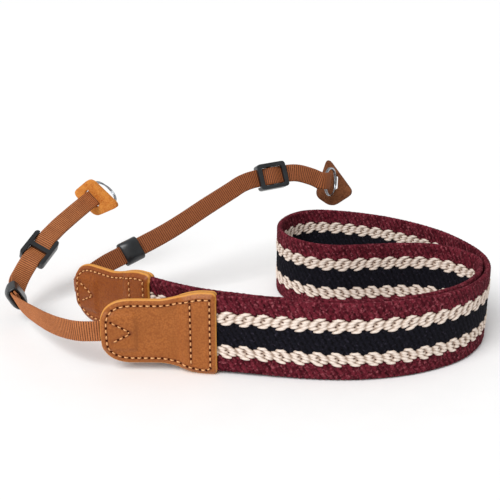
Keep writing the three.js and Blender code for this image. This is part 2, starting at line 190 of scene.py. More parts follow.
def add_piece(name, points, faces, material, fields=None, stands_for=()):
    """A smooth mesh from points in millimetres, with fields of numbers that its material reads"""
    mesh = bpy.data.meshes.new(name)
    mesh.from_pydata((points * MM).tolist(), [], [tuple(face) for face in faces])
    for field, values in (fields or {}).items():
        kind, key = ("FLOAT", "value") if values.ndim == 1 else ("FLOAT_VECTOR", "vector")
        layer = mesh.attributes.new(field, kind, "POINT")
        layer.data.foreach_set(key, values.astype(np.float32).ravel())
    mesh.materials.append(material)
    mesh.shade_smooth()
    piece = bpy.data.objects.new(name, mesh)
    bpy.context.scene.collection.objects.link(piece)
    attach(piece, "root")
    if stands_for:
        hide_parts(*stands_for)


# Materials

# The sockets of a mix node that hold colours
MIX_A, MIX_B, MIX_RESULT = 6, 7, 2


class Graph:
    """A material's nodes"""

    def __init__(self, name):
        self.material = bpy.data.materials.new(name)
        self.material.use_nodes = True
        self.nodes = self.material.node_tree.nodes
        self.links = self.material.node_tree.links
        self.nodes.clear()

    def put(self, value, socket):
        if isinstance(value, bpy.types.NodeSocket):
            self.links.new(value, socket)
        elif isinstance(value, tuple) and len(value) == 3 and socket.type == "RGBA":
            socket.default_value = (*value, 1)
        else:
            socket.default_value = value

    def add(self, kind, settings=None, **inputs):
        node = self.nodes.new(kind)
        for key, value in (settings or {}).items():
            setattr(node, key, value)
        for key, value in inputs.items():
            self.put(value, node.inputs[key.replace("_", " ")])
        return node

    def math(self, operation, a, b=0.0):
        node = self.add("ShaderNodeMath", {"operation": operation})
        self.put(a, node.inputs[0])
        self.put(b, node.inputs[1])
        return node.outputs[0]

    def ramp(self, value, low, high, to_low=0.0, to_high=1.0):
        node = self.add("ShaderNodeMapRange", {"interpolation_type": "SMOOTHSTEP"})
        for socket, item in zip(node.inputs, (value, low, high, to_low, to_high)):
            self.put(item, socket)
        return node.outputs[0]

    def mix(self, factor, a, b, blend="MIX"):
        node = self.add("ShaderNodeMix", {"data_type": "RGBA", "blend_type": blend})
        self.put(factor, node.inputs[0])
        self.put(a, node.inputs[MIX_A])
        self.put(b, node.inputs[MIX_B])
        return node.outputs[MIX_RESULT]

    def field(self, name, output="Fac"):
        return self.add("ShaderNodeAttribute", {"attribute_name": name}).outputs[output]

    def place(self, scale=(1, 1, 1)):
        """Places on the object in metres, times a scale along each axis"""
        where = self.add("ShaderNodeTexCoord").outputs["Object"]
        return self.stretch(where, scale)

    def stretch(self, vector, scale):
        node = self.add("ShaderNodeMapping", Vector=vector)
        node.inputs["Scale"].default_value = scale
        return node.outputs[0]

    def noise(self, vector, scale, detail=3.0, rough=0.6):
        node = self.add(
            "ShaderNodeTexNoise", Vector=vector, Scale=scale, Detail=detail, Roughness=rough,
        )
        return node.outputs[0]

    def finish(self, colour, roughness, bump=None, strength=0.3, distance=0.0001, **extra):
        shader = self.add("ShaderNodeBsdfPrincipled", Base_Color=colour, Roughness=roughness)
        for key, value in extra.items():
            self.put(value, shader.inputs[key.replace("_", " ")])
        if bump is not None:
            normal = self.add("ShaderNodeBump", Height=bump, Strength=strength, Distance=distance)
            self.links.new(normal.outputs[0], shader.inputs["Normal"])
        output = self.add("ShaderNodeOutputMaterial")
        self.links.new(shader.outputs[0], output.inputs["Surface"])
        return self.material


def colour(red, green, blue):
    """A linear colour from one as it is seen on a screen, 0 to 255"""
    parts = []
    for value in (red, green, blue):
        value /= 255
        parts.append(value / 12.92 if value <= 0.04045 else ((value + 0.055) / 1.055) ** 2.4)
    return tuple(parts)


def woven_material():
    g = Graph("woven_yarn")
    fibre = g.stretch(g.field("fibre", "Vector"), (0.7, 4.5, 1.0))
    threads = g.noise(fibre, 1.6, 2.0)
    # Lighter flecks at random places: the yarn's mottling, with painted highlights on its stitches
    mottle_and_highlights = g.noise(g.place(), 800.0, 2.0)
    patches = g.noise(g.place(), 330.0, 2.0)
    depth = g.field("depth")
    burgundy = g.mix(g.ramp(threads, 0.3, 0.75), colour(82, 18, 30), colour(122, 42, 55))
    burgundy = g.mix(g.ramp(patches, 0.35, 0.65), colour(70, 12, 24), burgundy)
    burgundy = g.mix(g.ramp(mottle_and_highlights, 0.5, 0.78), burgundy, colour(150, 78, 86))
    black = g.mix(g.ramp(threads, 0.35, 0.8), colour(7, 7, 12), colour(30, 29, 40))
    black = g.mix(g.ramp(mottle_and_highlights, 0.55, 0.8), black, colour(48, 44, 56))
    cream = g.mix(g.ramp(threads, 0.3, 0.7), colour(214, 196, 182), colour(250, 238, 228))
    ground = g.mix(g.ramp(g.field("zone"), -0.2, 0.2), burgundy, black)
    shaded = g.mix(g.ramp(depth, 0.05, 0.8), (0.32, 0.24, 0.26), (1.0, 1.0, 1.0))
    ground = g.mix(1.0, ground, shaded, "MULTIPLY")
    # Painted shade between the cream stitches, darkest in the holes between them
    crevice_shade = g.mix(g.ramp(depth, 0.0, 0.34), (0.12, 0.07, 0.06), (0.56, 0.49, 0.44))
    crevice_shade = g.mix(g.ramp(depth, 0.3, 1.0), crevice_shade, (1.0, 1.0, 1.0))
    cream = g.mix(1.0, cream, crevice_shade, "MULTIPLY")
    shown = g.mix(g.ramp(g.field("cream"), -0.01, 0.05), ground, cream)
    return g.finish(
        shown, 0.95, bump=threads, strength=0.5, distance=0.00012, Specular_IOR_Level=0.12,
    )


def leather_material(name, dark, light, pores):
    g = Graph(name)
    where = g.place()
    cells = g.add("ShaderNodeTexVoronoi", {"feature": "F1"}, Vector=where, Scale=1100.0).outputs[0]
    broad = g.noise(g.place(), 80.0, 4.0)
    fine = g.noise(g.place(), 900.0, 3.0)
    tan = g.mix(g.ramp(broad, 0.3, 0.7), dark, light)
    tan = g.mix(g.ramp(cells, 0.2, 0.9), tan, pores)
    rough_rim = g.math("MULTIPLY", g.math("SUBTRACT", fine, 0.5), 0.4)
    rim = g.ramp(g.math("ADD", g.field("rim"), rough_rim), 0.2, 1.0)
    shown = g.mix(rim, tan, colour(208, 142, 62))
    shown = g.mix(g.math("MULTIPLY", g.field("groove"), 0.6), shown, colour(104, 46, 10))
    grain = g.math("ADD", g.math("MULTIPLY", cells, 0.6), fine)
    rough = g.ramp(fine, 0.2, 0.8, 0.38, 0.58)
    return g.finish(
        shown, rough, bump=grain, strength=0.4, distance=0.00016, Specular_IOR_Level=0.32,
    )


def suede_material(name, dark, light, pale):
    g = Graph(name)
    fine = g.noise(g.place(), 1400.0, 4.0)
    broad = g.noise(g.place(), 200.0, 3.0)
    shown = g.mix(g.ramp(broad, 0.3, 0.7), dark, light)
    shown = g.mix(g.ramp(fine, 0.35, 0.75), shown, pale)
    return g.finish(shown, 0.85, bump=fine, strength=0.6, distance=0.0002, Specular_IOR_Level=0.2)


def thread_material():
    g = Graph("sewing_thread")
    fine = g.noise(g.place(), 2600.0, 2.0)
    shown = g.mix(g.ramp(fine, 0.3, 0.7), colour(206, 140, 82), colour(240, 186, 130))
    return g.finish(shown, 0.7, bump=fine, strength=0.4, distance=0.0001, Specular_IOR_Level=0.25)


# Stitch holes drawn as dark discs: their colour is painted shade in the holes
def hole_shade_material(name, dark, light):
    g = Graph(name)
    fine = g.noise(g.place(), 1500.0, 2.0)
    return g.finish(g.mix(fine, dark, light), 0.9, bump=fine, strength=0.3, Specular_IOR_Level=0.1)


def nylon_material(name, groove, rib_top_highlight, pale):
    g = Graph(name)
    rib = g.field("rib")
    fibre = g.noise(g.stretch(g.field("fibre", "Vector"), (1.2, 5.0, 1.0)), 1.4, 2.0)
    broad = g.noise(g.place(), 120.0, 2.0)
    # Painted shade in the grooves between the ribs and painted highlight on their tops
    shown = g.mix(g.ramp(rib, 0.1, 0.75), groove, rib_top_highlight)
    shown = g.mix(g.ramp(fibre, 0.45, 0.85), shown, pale)
    shown = g.mix(g.ramp(broad, 0.4, 0.7, 0.0, 0.25), shown, colour(118, 62, 30))
    return g.finish(
        shown, 0.62, bump=fibre, strength=0.4, distance=0.0001, Specular_IOR_Level=0.25,
    )


def plastic_material():
    g = Graph("moulded_plastic")
    fine = g.noise(g.place(), 1800.0, 3.0)
    broad = g.noise(g.place(), 150.0, 2.0)
    shown = g.mix(g.ramp(broad, 0.3, 0.7), colour(11, 14, 17), colour(24, 28, 32))
    rough = g.ramp(fine, 0.2, 0.8, 0.28, 0.4)
    return g.finish(
        shown, rough, bump=fine, strength=0.1, distance=0.00004, Specular_IOR_Level=0.6,
    )


def steel_material():
    g = Graph("plated_steel")
    scratches = g.noise(g.place((1, 1, 6)), 700.0, 3.0)
    shown = g.mix(g.ramp(scratches, 0.3, 0.7), colour(128, 132, 138), colour(196, 200, 205))
    rough = g.ramp(scratches, 0.2, 0.8, 0.1, 0.28)
    return g.finish(shown, rough, bump=scratches, strength=0.08, distance=0.00003, Metallic=1.0)


def floor_material():
    g = Graph("pale_floor")
    fine = g.noise(g.place(), 60.0, 2.0)
    return g.finish(
        g.mix(fine, (0.9, 0.9, 0.9), (0.93, 0.93, 0.93)), 0.8, bump=fine, strength=0.02,
    )


WOVEN = woven_material()
TAN = leather_material(
    "tan_leather", colour(152, 86, 30), colour(168, 98, 40), colour(142, 76, 22),
)
RUST = leather_material(
    "rust_leather", colour(134, 66, 12), colour(150, 80, 20), colour(126, 60, 8),
)
SUEDE = suede_material(
    "raw_leather", colour(176, 92, 24), colour(206, 130, 52), colour(218, 146, 72),
)
# The raw leather made darker: painted shade on the right protector
SHADED_SUEDE = suede_material(
    "brown_leather", colour(78, 40, 20), colour(110, 64, 36), colour(128, 80, 50),
)
THREAD = thread_material()
# Painted shade of the stitch holes on the front and back tab
DARK_HOLE_SHADE = hole_shade_material("dark_hole_shade", colour(44, 12, 2), colour(84, 34, 8))
PALE_HOLE_SHADE = hole_shade_material("pale_hole_shade", colour(92, 42, 14), colour(116, 58, 22))
# The groove and rib-top colours are painted shade and highlight on the ribs
NYLON = nylon_material(
    "ribbed_nylon", colour(66, 26, 8), colour(186, 112, 62), colour(204, 136, 90),
)
SHADED_NYLON = nylon_material(
    "shaded_nylon", colour(52, 20, 6), colour(158, 88, 46), colour(172, 106, 66),
)
PLASTIC = plastic_material()
STEEL = steel_material()

# Camera

camera = bpy.data.objects.new("camera", bpy.data.cameras.new("camera"))
camera.data.lens = 57.6
camera.data.sensor_width = 36
camera.location = (0.019, -0.475, 0.129)
camera.rotation_euler = (math.radians(70.3), 0, 0)
bpy.context.scene.collection.objects.link(camera)
bpy.context.scene.camera = camera

# Woven band

# The cream stripes' pattern repeats every UNIT
UNIT = 8.2
EDGE_RADIUS = 1.05
HALF_WIDTH = 18.5
EDGE_ARC = EDGE_RADIUS * math.pi / 2
FACE = 2 * (HALF_WIDTH - EDGE_RADIUS + EDGE_ARC)
UPPER_STRIPE, LOWER_STRIPE = 0.29 * FACE, 0.715 * FACE
ROWS = 30
# One repeat of a stripe. A stitch is a lens of yarn: its place along the band and down from the
# stripe's middle, half its length and height, and its slant in degrees, rising to the right.
UPPER_STITCHES = [
    (0.2, -2.75, 2.7, 0.84, 5), (-1.9, -1.45, 2.3, 0.84, 20), (2.3, -1.4, 2.2, 0.84, 14),
    (-2.7, 0.0, 2.3, 0.84, 20), (1.5, 0.0, 2.3, 0.84, 20),
    (-2.3, 1.4, 2.2, 0.84, 14), (1.8, 1.4, 2.3, 0.84, 20), (-0.1, 2.7, 2.6, 0.84, 8),
]
LOWER_STITCHES = [
    (-along, down, length, height, -slant)
    for along, down, length, height, slant in UPPER_STITCHES
]
# Small openings between the cream stitches, along and down from the stripe's middle
UPPER_HOLES = [(0.6, -0.45), (-0.9, 0.5)]
LOWER_HOLES = [(-along, down) for along, down in UPPER_HOLES]
HOLE_RADIUS = 0.46
# Spacing of the mesh down the band, up to a reach from the cream stripes' middles and elsewhere
FINE, COARSE, FINE_REACH = 0.27, 0.6, 4.2
# Half the width in which the stripe's yarn also fills the gaps between its stitches
FILLED = 1.7
# Where the ground's stitches stop above and below a stripe's middle, and where black starts
GROUND_STOPS, BLACK_STARTS = 2.7, 0.7
# The ground's stitches: half their length and height, and their slant, which alternates
GROUND_HALF_LENGTH, GROUND_HALF_HEIGHT, GROUND_SLANT = 1.5, 0.86, 24
# Least height and depth of the yarn that fills a stripe; the depth sets how dark its painted shade
# gets
FILL_HEIGHT, FILL_DEPTH = 0.12, 0.2
# How far the stitches rise
EDGE_RISE, GROUND_RISE, CREAM_RISE = 0.3, 0.4, 0.78
# How far across the band one stitch can reach
STITCH_REACH = 2.4
# Number of random values for a row of stitches, after which they repeat
RANDOM_STITCHES = 211


def band_stitches():
    """Every row of stitches: along, down, half length and height, slant, repeat, rise, is cream"""
    rows = []
    for i in range(ROWS + 1):
        down = FACE * i / ROWS
        if min(abs(down - UPPER_STRIPE), abs(down - LOWER_STRIPE)) < GROUND_STOPS:
            continue
        at_edge = i in (0, ROWS)
        slant = 0 if at_edge else (GROUND_SLANT if i % 2 else -GROUND_SLANT)
        along = 0 if at_edge else UNIT / 12 * (i % 4)
        rise = EDGE_RISE if at_edge else GROUND_RISE
        size = (GROUND_HALF_LENGTH, GROUND_HALF_HEIGHT)
        rows.append((along, down, *size, slant, UNIT / 3, rise, False))
    for stripe, table in ((UPPER_STRIPE, UPPER_STITCHES), (LOWER_STRIPE, LOWER_STITCHES)):
        for along, down, length, height, slant in table:
            rows.append((along, stripe + down, length, height, slant, UNIT, CREAM_RISE, True))
    return rows


def weave_fields(along, down, way):
    """The weave's height, what is cream, the fibres' places and the stitches' depth, on a grid.

    The way is 1 for the band's one side and -1 for the other.
    """
    rng = np.random.default_rng(7)
    shape = (len(along), len(down))
    cream, ground, depth = np.zeros(shape), np.zeros(shape), np.zeros(shape)
    fibre = np.zeros((*shape, 3))
    for index, row in enumerate(band_stitches()):
        start, level, half_length, half_height, slant, repeat, rise, is_cream = row
        near = np.flatnonzero(np.abs(down - level) < STITCH_REACH)
        stitch = np.round((way * along - start) / repeat).astype(int)
        at_edge = rise < GROUND_RISE
        loose = 0 if at_edge else 1 if is_cream else 1.6
        jitter = rng.uniform(-1, 1, (4, RANDOM_STITCHES))[:, stitch % RANDOM_STITCHES] * loose
        x = (way * along - start - stitch * repeat + 0.12 * jitter[0])[:, None]
        y = level - down[near][None, :] + 0.1 * jitter[1][:, None]
        turn = np.radians(slant + 5 * jitter[2])[:, None]
        length = x * np.cos(turn) + y * np.sin(turn)
        height = y * np.cos(turn) - x * np.sin(turn)
        inside = 1 - np.abs(length / half_length) ** 1.7 - np.abs(height / half_height) ** 2.2
        dome = np.sqrt(np.clip(inside, 0, 1))
        bulge = rise * (1 + 0.1 * jitter[3][:, None]) * dome
        target = cream if is_cream else ground
        block = target[:, near]
        other = (ground if is_cream else cream)[:, near]
        on_top = bulge > np.maximum(block, other)
        # Each stitch's own offset, so that its fibres differ from its neighbours'
        own = index * 3.7 + stitch[:, None] * 1.3
        place = np.stack(np.broadcast_arrays(length, height, own), axis=-1)
        fibre[:, near] = np.where(on_top[..., None], place, fibre[:, near])
        depth[:, near] = np.where(on_top, dome, depth[:, near])
        target[:, near] = np.maximum(block, bulge)
    for stripe, table in ((UPPER_STRIPE, UPPER_HOLES), (LOWER_STRIPE, LOWER_HOLES)):
        filled = (np.abs(down - stripe) < FILLED)[None, :]
        cream = np.where(filled, np.maximum(cream, FILL_HEIGHT), cream)
        depth = np.where(filled, np.maximum(depth, FILL_DEPTH), depth)
        for start, level in table:
            x = way * along - start
            x = x - UNIT * np.round(x / UNIT)
            apart = x[:, None] ** 2 + (down - stripe - level)[None, :] ** 2
            open_ = np.exp(-(apart / HOLE_RADIUS ** 2) ** 2)
            cream = cream * (1 - open_)
            depth = depth * (1 - open_)
    height = np.maximum(cream, ground)
    return height, cream - np.maximum(ground, 0.05), fibre, depth


def band_section(down):
    """Place and outward direction down one side of the band, round its upper and lower edge"""
    straight = FACE - 2 * EDGE_ARC
    past_face = np.where(down > EDGE_ARC + straight, down - straight, EDGE_ARC)
    turned = np.where(down < EDGE_ARC, down, past_face)
    angle = turned / EDGE_RADIUS
    passed = np.clip(down - EDGE_ARC, 0, straight)
    out, up = np.sin(angle), np.cos(angle)
    across = EDGE_RADIUS * out
    level = HALF_WIDTH - EDGE_RADIUS - passed + EDGE_RADIUS * up
    return across, level, out, up


def band_levels():
    """Places down the band's face, closest together on the cream stripes"""
    down = np.linspace(0, FACE, 2000)
    to_stripe = np.minimum(np.abs(down - UPPER_STRIPE), np.abs(down - LOWER_STRIPE))
    share = np.cumsum(np.where(to_stripe < FINE_REACH, 1 / FINE, 1 / COARSE))
    share = (share - share[0]) / (share[-1] - share[0])
    fine_part = 4 * FINE_REACH
    count = int(fine_part / FINE + (FACE - fine_part) / COARSE)
    return np.interp(np.linspace(0, 1, count + 1), share, down)


def add_band(pieces=4, step=0.42):
    """The band between its tabs, as pieces of one mesh with a row of vertices at every step"""
    first = TAB_LENGTH - BAND_IN_TAB
    last = route.length - first
    rows = int((last - first) / step)
    along = np.linspace(first, last, rows)
    down = band_levels()
    points, _, normals = route_frames(along)
    across, level, out, up = band_section(down)
    sides = []
    for way in (1, -1):
        height, cream, fibre, depth = weave_fields(along, down, way)
        away = -way * (across + height * out)
        place = points[:, None] + normals[:, None] * away[..., None]
        place[..., 2] += level + height * up
        zone = np.minimum(
            down - UPPER_STRIPE - BLACK_STARTS, LOWER_STRIPE - BLACK_STARTS - down,
        )
        zone = np.broadcast_to(zone, height.shape)
        grids = [place, depth, cream, zone, fibre]
        cut = slice(0, -1) if way > 0 else slice(-1, 0, -1)
        sides.append([grid[:, cut] for grid in grids])
    place, depth, cream, zone, fibre = (np.concatenate(pair, axis=1) for pair in zip(*sides))
    ring = place.shape[1]
    bounds = np.linspace(0, rows - 1, pieces + 1).astype(int)
    for number, (low, high) in enumerate(zip(bounds[:-1], bounds[1:]), 1):
        cut = slice(low, high + 1)
        count = high + 1 - low
        quads = grid_quads(count, ring, True)
        fields = {
            "depth": depth[cut].ravel(),
            "cream": cream[cut].ravel(),
            "zone": zone[cut].ravel(),
            "fibre": fibre[cut].reshape(-1, 3),
        }
        add_piece(
            f"band_weave_{number}", place[cut].reshape(-1, 3), quads, WOVEN,
            fields, ["neck_band"],
        )


# Leather tabs

def tab_half_height(distance):
    """Half the tab's height, from its square side on the band to its narrow round end"""
    full, neck = TAB_HEIGHT / 2, TAB_NECK / 2
    left = np.clip(TAB_CORNER - distance, 0, None)
    corner = TAB_CORNER - np.sqrt(TAB_CORNER ** 2 - left ** 2)
    waist = full + (neck - full) * smooth(NARROW_FROM, NARROW_TO, distance)
    turn = np.clip((distance - ROUND_FROM) / (TAB_LENGTH - ROUND_FROM), 0, 1)
    end = (neck - TAB_TIP) * (1 - (1 - turn ** ROUND_POWER) ** (1 / ROUND_POWER))
    return waist - corner - end


def leaf_lift(distance, height):
    """How far a leaf stands off the tab's middle, over the band, the webbing and nothing"""
    edge = np.abs(height)
    over_band = 1 - smooth(BAND_IN_TAB + 0.5, BAND_IN_TAB + 5, distance)
    pinch = 1 - 0.35 * smooth(BAND_WIDTH / 2, TAB_HEIGHT / 2, edge)
    band = over_band * pinch * (BAND_THICK / 2 + TAB_ROOM)
    webbing_end = TAB_LENGTH - WEBBING_IN_TAB
    over_webbing = smooth(webbing_end - 4, webbing_end - 0.5, distance)
    beside = smooth(WEBBING_WIDTH / 2 + 2, WEBBING_WIDTH / 2 + 6, edge)
    webbing = over_webbing * (1 - beside) * (WEBBING_THICK / 2 + TAB_ROOM)
    return np.maximum(np.maximum(band, webbing), GAP / 2)


def resampled(line, pitch):
    """Points along a line, as close as possible to a pitch apart"""
    line = np.array(line, float)
    lengths = np.concatenate([[0], np.cumsum(np.linalg.norm(np.diff(line, axis=0), axis=1))])
    count = max(int(round(lengths[-1] / pitch)), 1)
    places = np.linspace(0, lengths[-1], count + 1)
    return np.column_stack([np.interp(places, lengths, line[:, i]) for i in range(2)])


SEAM_INSET, FIRST_ROW, SECOND_ROW = 2.8, 2.9, 11.8
RIM_RADIUS, GROOVE_RADIUS, GROOVE_DEPTH, SKIVED = 0.75, 0.85, 0.2, 0.38
TAB_ROWS, TAB_COLUMNS = 108, 83


def tab_seams():
    """The rows of stitches on a tab, as distances from its band side and heights from its middle"""
    distance = np.linspace(TAB_CORNER, TAB_LENGTH, 240)
    outline = np.column_stack([distance, tab_half_height(distance)])
    outline = np.vstack([outline, [[TAB_LENGTH, 2], [TAB_LENGTH, 0]]])
    step = np.gradient(outline, axis=0)
    inward = unit(np.column_stack([step[:, 1], -step[:, 0]]))
    inner = outline + SEAM_INSET * inward
    inner = inner[(inner[:, 0] > FIRST_ROW) & (inner[:, 1] > 0)]
    tip = inner[:, 0].max()
    top = np.vstack([[[FIRST_ROW, tab_half_height(FIRST_ROW) - SEAM_INSET]], inner, [[tip, 0]]])
    bottom = top[::-1] * [1, -1]
    second = tab_half_height(SECOND_ROW) - SEAM_INSET - 1.5
    return [
        np.vstack([top, bottom[1:], top[:1]]),
        np.array([[SECOND_ROW, second], [SECOND_ROW, -second]]),
        np.array([[48.0, 5.2], [38.8, 0], [47.6, -4.6]]),
    ]


def add_tab(name, frames_at, leather, hole):
    """Both leaves of a tab, closed round their rims, with their seams sunk in"""
    seams = tab_seams()
    seam_points = np.vstack([resampled(seam, 0.5) for seam in seams])
    part = np.linspace(0, 1, TAB_ROWS)
    crowded = 0.5 - 0.5 * np.cos(np.pi * part)
    distance = TAB_LENGTH * crowded * 0.35 + TAB_LENGTH * part * 0.65
    level = np.sin(np.linspace(-math.pi / 2, math.pi / 2, TAB_COLUMNS))
    points, _, normals = frames_at(distance)
    half = tab_half_height(distance)
    height = half[:, None] * level[None, :]
    where = np.broadcast_to(distance[:, None], height.shape)
    lift = leaf_lift(where, height)
    slope = np.gradient(half, distance)
    edge = (half[:, None] - np.abs(height)) / np.sqrt(1 + slope ** 2)[:, None]
    edge = np.minimum(edge, np.minimum(where, TAB_LENGTH - where + 0.2))
    gone = np.clip(RIM_RADIUS - edge, 0, RIM_RADIUS)
    drop = RIM_RADIUS - np.sqrt(RIM_RADIUS ** 2 - gone ** 2)
    flat = np.stack([where, height], axis=-1)
    away = np.full(where.shape, 99.0)
    for seam_point in seam_points:
        away = np.minimum(away, np.linalg.norm(flat - seam_point, axis=-1))
    groove = np.exp(-(away / GROOVE_RADIUS) ** 2)
    rim = 1 - smooth(0.05, 1.0, edge)
    skived = 1 - SKIVED * (1 - smooth(0.2, 2.6, edge))
    to_side = half[:, None] - np.abs(height)
    pinched = (1 - smooth(0, 2.8, to_side)) * np.clip((lift - 0.4) / 1.4, 0, 1)
    closed = (1 - smooth(0.2, 1.1, to_side)) * (1 - smooth(36, 40, where))

    def surface(side, spots, above):
        along, up = spots.T
        base, _, normal = frames_at(along)
        reach = leaf_lift(along, up) + LEATHER + above
        return base + normal * (side * reach)[:, None] + UP * up[:, None]

    for side, leaf in ((1, "outer_leaf"), (-1, "inner_leaf")):
        outer = lift * (1 - 0.5 * pinched) + LEATHER * skived - drop - GROOVE_DEPTH * groove
        inner = lift * (1 - closed) + 0.04 * closed
        shells = []
        for reach in (outer, inner):
            place = points[:, None] + normals[:, None] * (side * reach)[..., None]
            place[..., 2] += height
            shells.append(place)
        ring = np.concatenate([shells[0], shells[1][:, ::-1]], axis=1)
        quads = grid_quads(TAB_ROWS, ring.shape[1], True)
        if side < 0:
            quads = quads[:, ::-1]
        caps = []
        count = ring.shape[1]
        last = (TAB_ROWS - 1) * count
        for i in range(TAB_COLUMNS - 1):
            near = [i, i + 1, count - 2 - i, count - 1 - i]
            far = [last + corner for corner in near]
            caps.append(near[::-1] if side > 0 else near)
            caps.append(far if side > 0 else far[::-1])
        fields = {
            "rim": np.concatenate([rim, np.ones_like(rim)], axis=1).ravel(),
            "groove": np.concatenate([groove, np.zeros_like(groove)], axis=1).ravel(),
        }
        faces = np.vstack([quads, np.array(caps)])
        add_piece(
            f"{name}_{leaf}_hide", ring.reshape(-1, 3), faces, leather,
            fields, [f"{name}_{leaf}"],
        )
        add_stitches(f"{name}_{leaf}", seams, surface, side, frames_at, hole)


STITCH_PITCH = 3.0
THREAD_RADIUS, THREAD_STATIONS, THREAD_SIDES = 0.34, 9, 8


def add_stitches(name, seams, surface, side, frames_at, hole):
    """Thread that dips into a hole at both ends of each stitch"""
    rng = np.random.default_rng(11)
    starts, ends = [], []
    for seam in seams:
        nodes = resampled(seam, STITCH_PITCH)
        starts.append(nodes[:-1])
        ends.append(nodes[1:])
    starts, ends = np.vstack(starts), np.vstack(ends)
    stations = np.linspace(0.2, 0.8, THREAD_STATIONS)
    around = np.arange(THREAD_SIDES) * math.tau / THREAD_SIDES
    middle = []
    for part in stations:
        at = starts + (ends - starts) * part
        arch = 0.34 * math.sin(math.pi * (part - 0.2) / 0.6) - 0.22
        middle.append(surface(side, at, arch))
    middle = np.stack(middle, axis=1)
    forward = unit(middle[:, -1] - middle[:, 0])[:, None]
    out = (frames_at((starts + ends)[:, 0] / 2)[2] * side)[:, None]
    beside = unit(np.cross(forward, out))
    swell = np.sin(math.pi * np.linspace(0.04, 0.96, THREAD_STATIONS))
    radius = THREAD_RADIUS * np.sqrt(np.clip(swell, 0, 1))
    radius = radius[None, :] * (1 + 0.12 * rng.uniform(-1, 1, (len(starts), 1)))
    ring = (
        np.cos(around)[None, None, :, None] * out[:, :, None]
        + np.sin(around)[None, None, :, None] * beside[:, :, None]
    )
    points = middle[:, :, None] + ring * radius[..., None, None]
    quads = grid_quads(THREAD_STATIONS, THREAD_SIDES, True)
    one = THREAD_STATIONS * THREAD_SIDES
    faces = np.vstack([quads + i * one for i in range(len(starts))])
    add_piece(f"{name}_stitches", points.reshape(-1, 3), faces, THREAD)
    add_holes(name, starts, surface, side, frames_at, hole)


def add_holes(name, places, surface, side, frames_at, hole):
    """Dark discs where the thread goes down into the leather, their colour painted shade in the
    holes
    """
    base = surface(side, places, -0.14)
    out = frames_at(places[:, 0])[2] * side
    across = np.cross(out, UP)
    sides = 10
    around = np.arange(sides) * math.tau / sides
    cos, sin = np.cos(around)[None, :, None], np.sin(around)[None, :, None]
    circle = cos * across[:, None] + sin * UP
    rings = []
    for radius, rise in ((0.64, 0.0), (0.52, 0.07), (0.22, 0.05)):
        rings.append(base[:, None] + circle * radius + out[:, None] * rise)
    points = np.stack(rings, axis=1)
    quads = grid_quads(len(rings), sides, True)
    inmost = (len(rings) - 1) * sides
    lid = [[inmost, inmost + i, inmost + i + 1, inmost + i + 2] for i in range(1, sides - 1, 2)]
    cell = np.vstack([quads, lid])
    faces = np.vstack([cell + i * len(rings) * sides for i in range(len(places))])
    add_piece(f"{name}_holes", points.reshape(-1, 3), faces, hole)


def front_tab_frames(distance):
    return route_frames(TAB_LENGTH - distance, -1)


def back_tab_frames(distance):
    return route_frames(route.length - TAB_LENGTH + distance)


# Nylon ends

class Webbing:
    """The path of one nylon end, from inside its tab to its ring"""

    def __init__(self, rows, tab_frames, outward, keeper_row, slider_row):
        inside = np.array([WEBBING_IN_TAB, WEBBING_IN_TAB / 2, 1])
        start = tab_frames(TAB_LENGTH - inside)[0]
        rows = np.array(rows, float)
        self.curve = Spline(np.vstack([start, rows[:, :3]]), 800)
        self.leans = np.concatenate([np.zeros(len(start)), rows[:, 3]])
        self.outward = outward
        self.length = self.curve.length
        self.keeper_at = self.distance_of(len(start) + keeper_row)
        self.slider_at = self.distance_of(len(start) + slider_row)
        self.tail_end = self.keeper_at - TAIL_PAST_KEEPER

    def distance_of(self, row):
        table = self.curve.lengths
        return table[int(round(row / (len(self.leans) - 1) * (len(table) - 1)))]

    def frames(self, distance):
        t = self.curve.parameter(np.clip(distance, 0, self.length))
        tangents = self.curve.tangent(t)
        upright = unit(UP - tangents * tangents[:, 2:])
        lean = np.interp(t * (len(self.leans) - 1), np.arange(len(self.leans)), self.leans)
        lean = np.radians(lean)[:, None]
        width = upright * np.cos(lean) + np.cross(tangents, upright) * np.sin(lean)
        width *= self.outward
        return self.curve.point(t), tangents, width, np.cross(width, tangents)

    def weave(self, distance):
        """How far the webbing goes over the slider's middle bar and under its outer ones"""
        half_pitch = (SLIDER_LENGTH - SLIDER_BAR) / 2
        reach = np.abs(distance - self.slider_at)
        over = WEAVE * np.cos(math.pi * reach / half_pitch)
        under = -WEAVE * (1 - smooth(half_pitch, 2 * half_pitch, reach))
        return np.where(reach < half_pitch, over, under)


RIB_PITCH, RIB_DEPTH, RIB_EDGE_DEPTH = 1.15, 0.3, 0.12
# Where the squeeze is strongest, from the tab's tip outwards, and how far it runs
SQUEEZE_AT, SQUEEZE_RUN = 2.5, 3.5
WEBBING_SIDES = 20


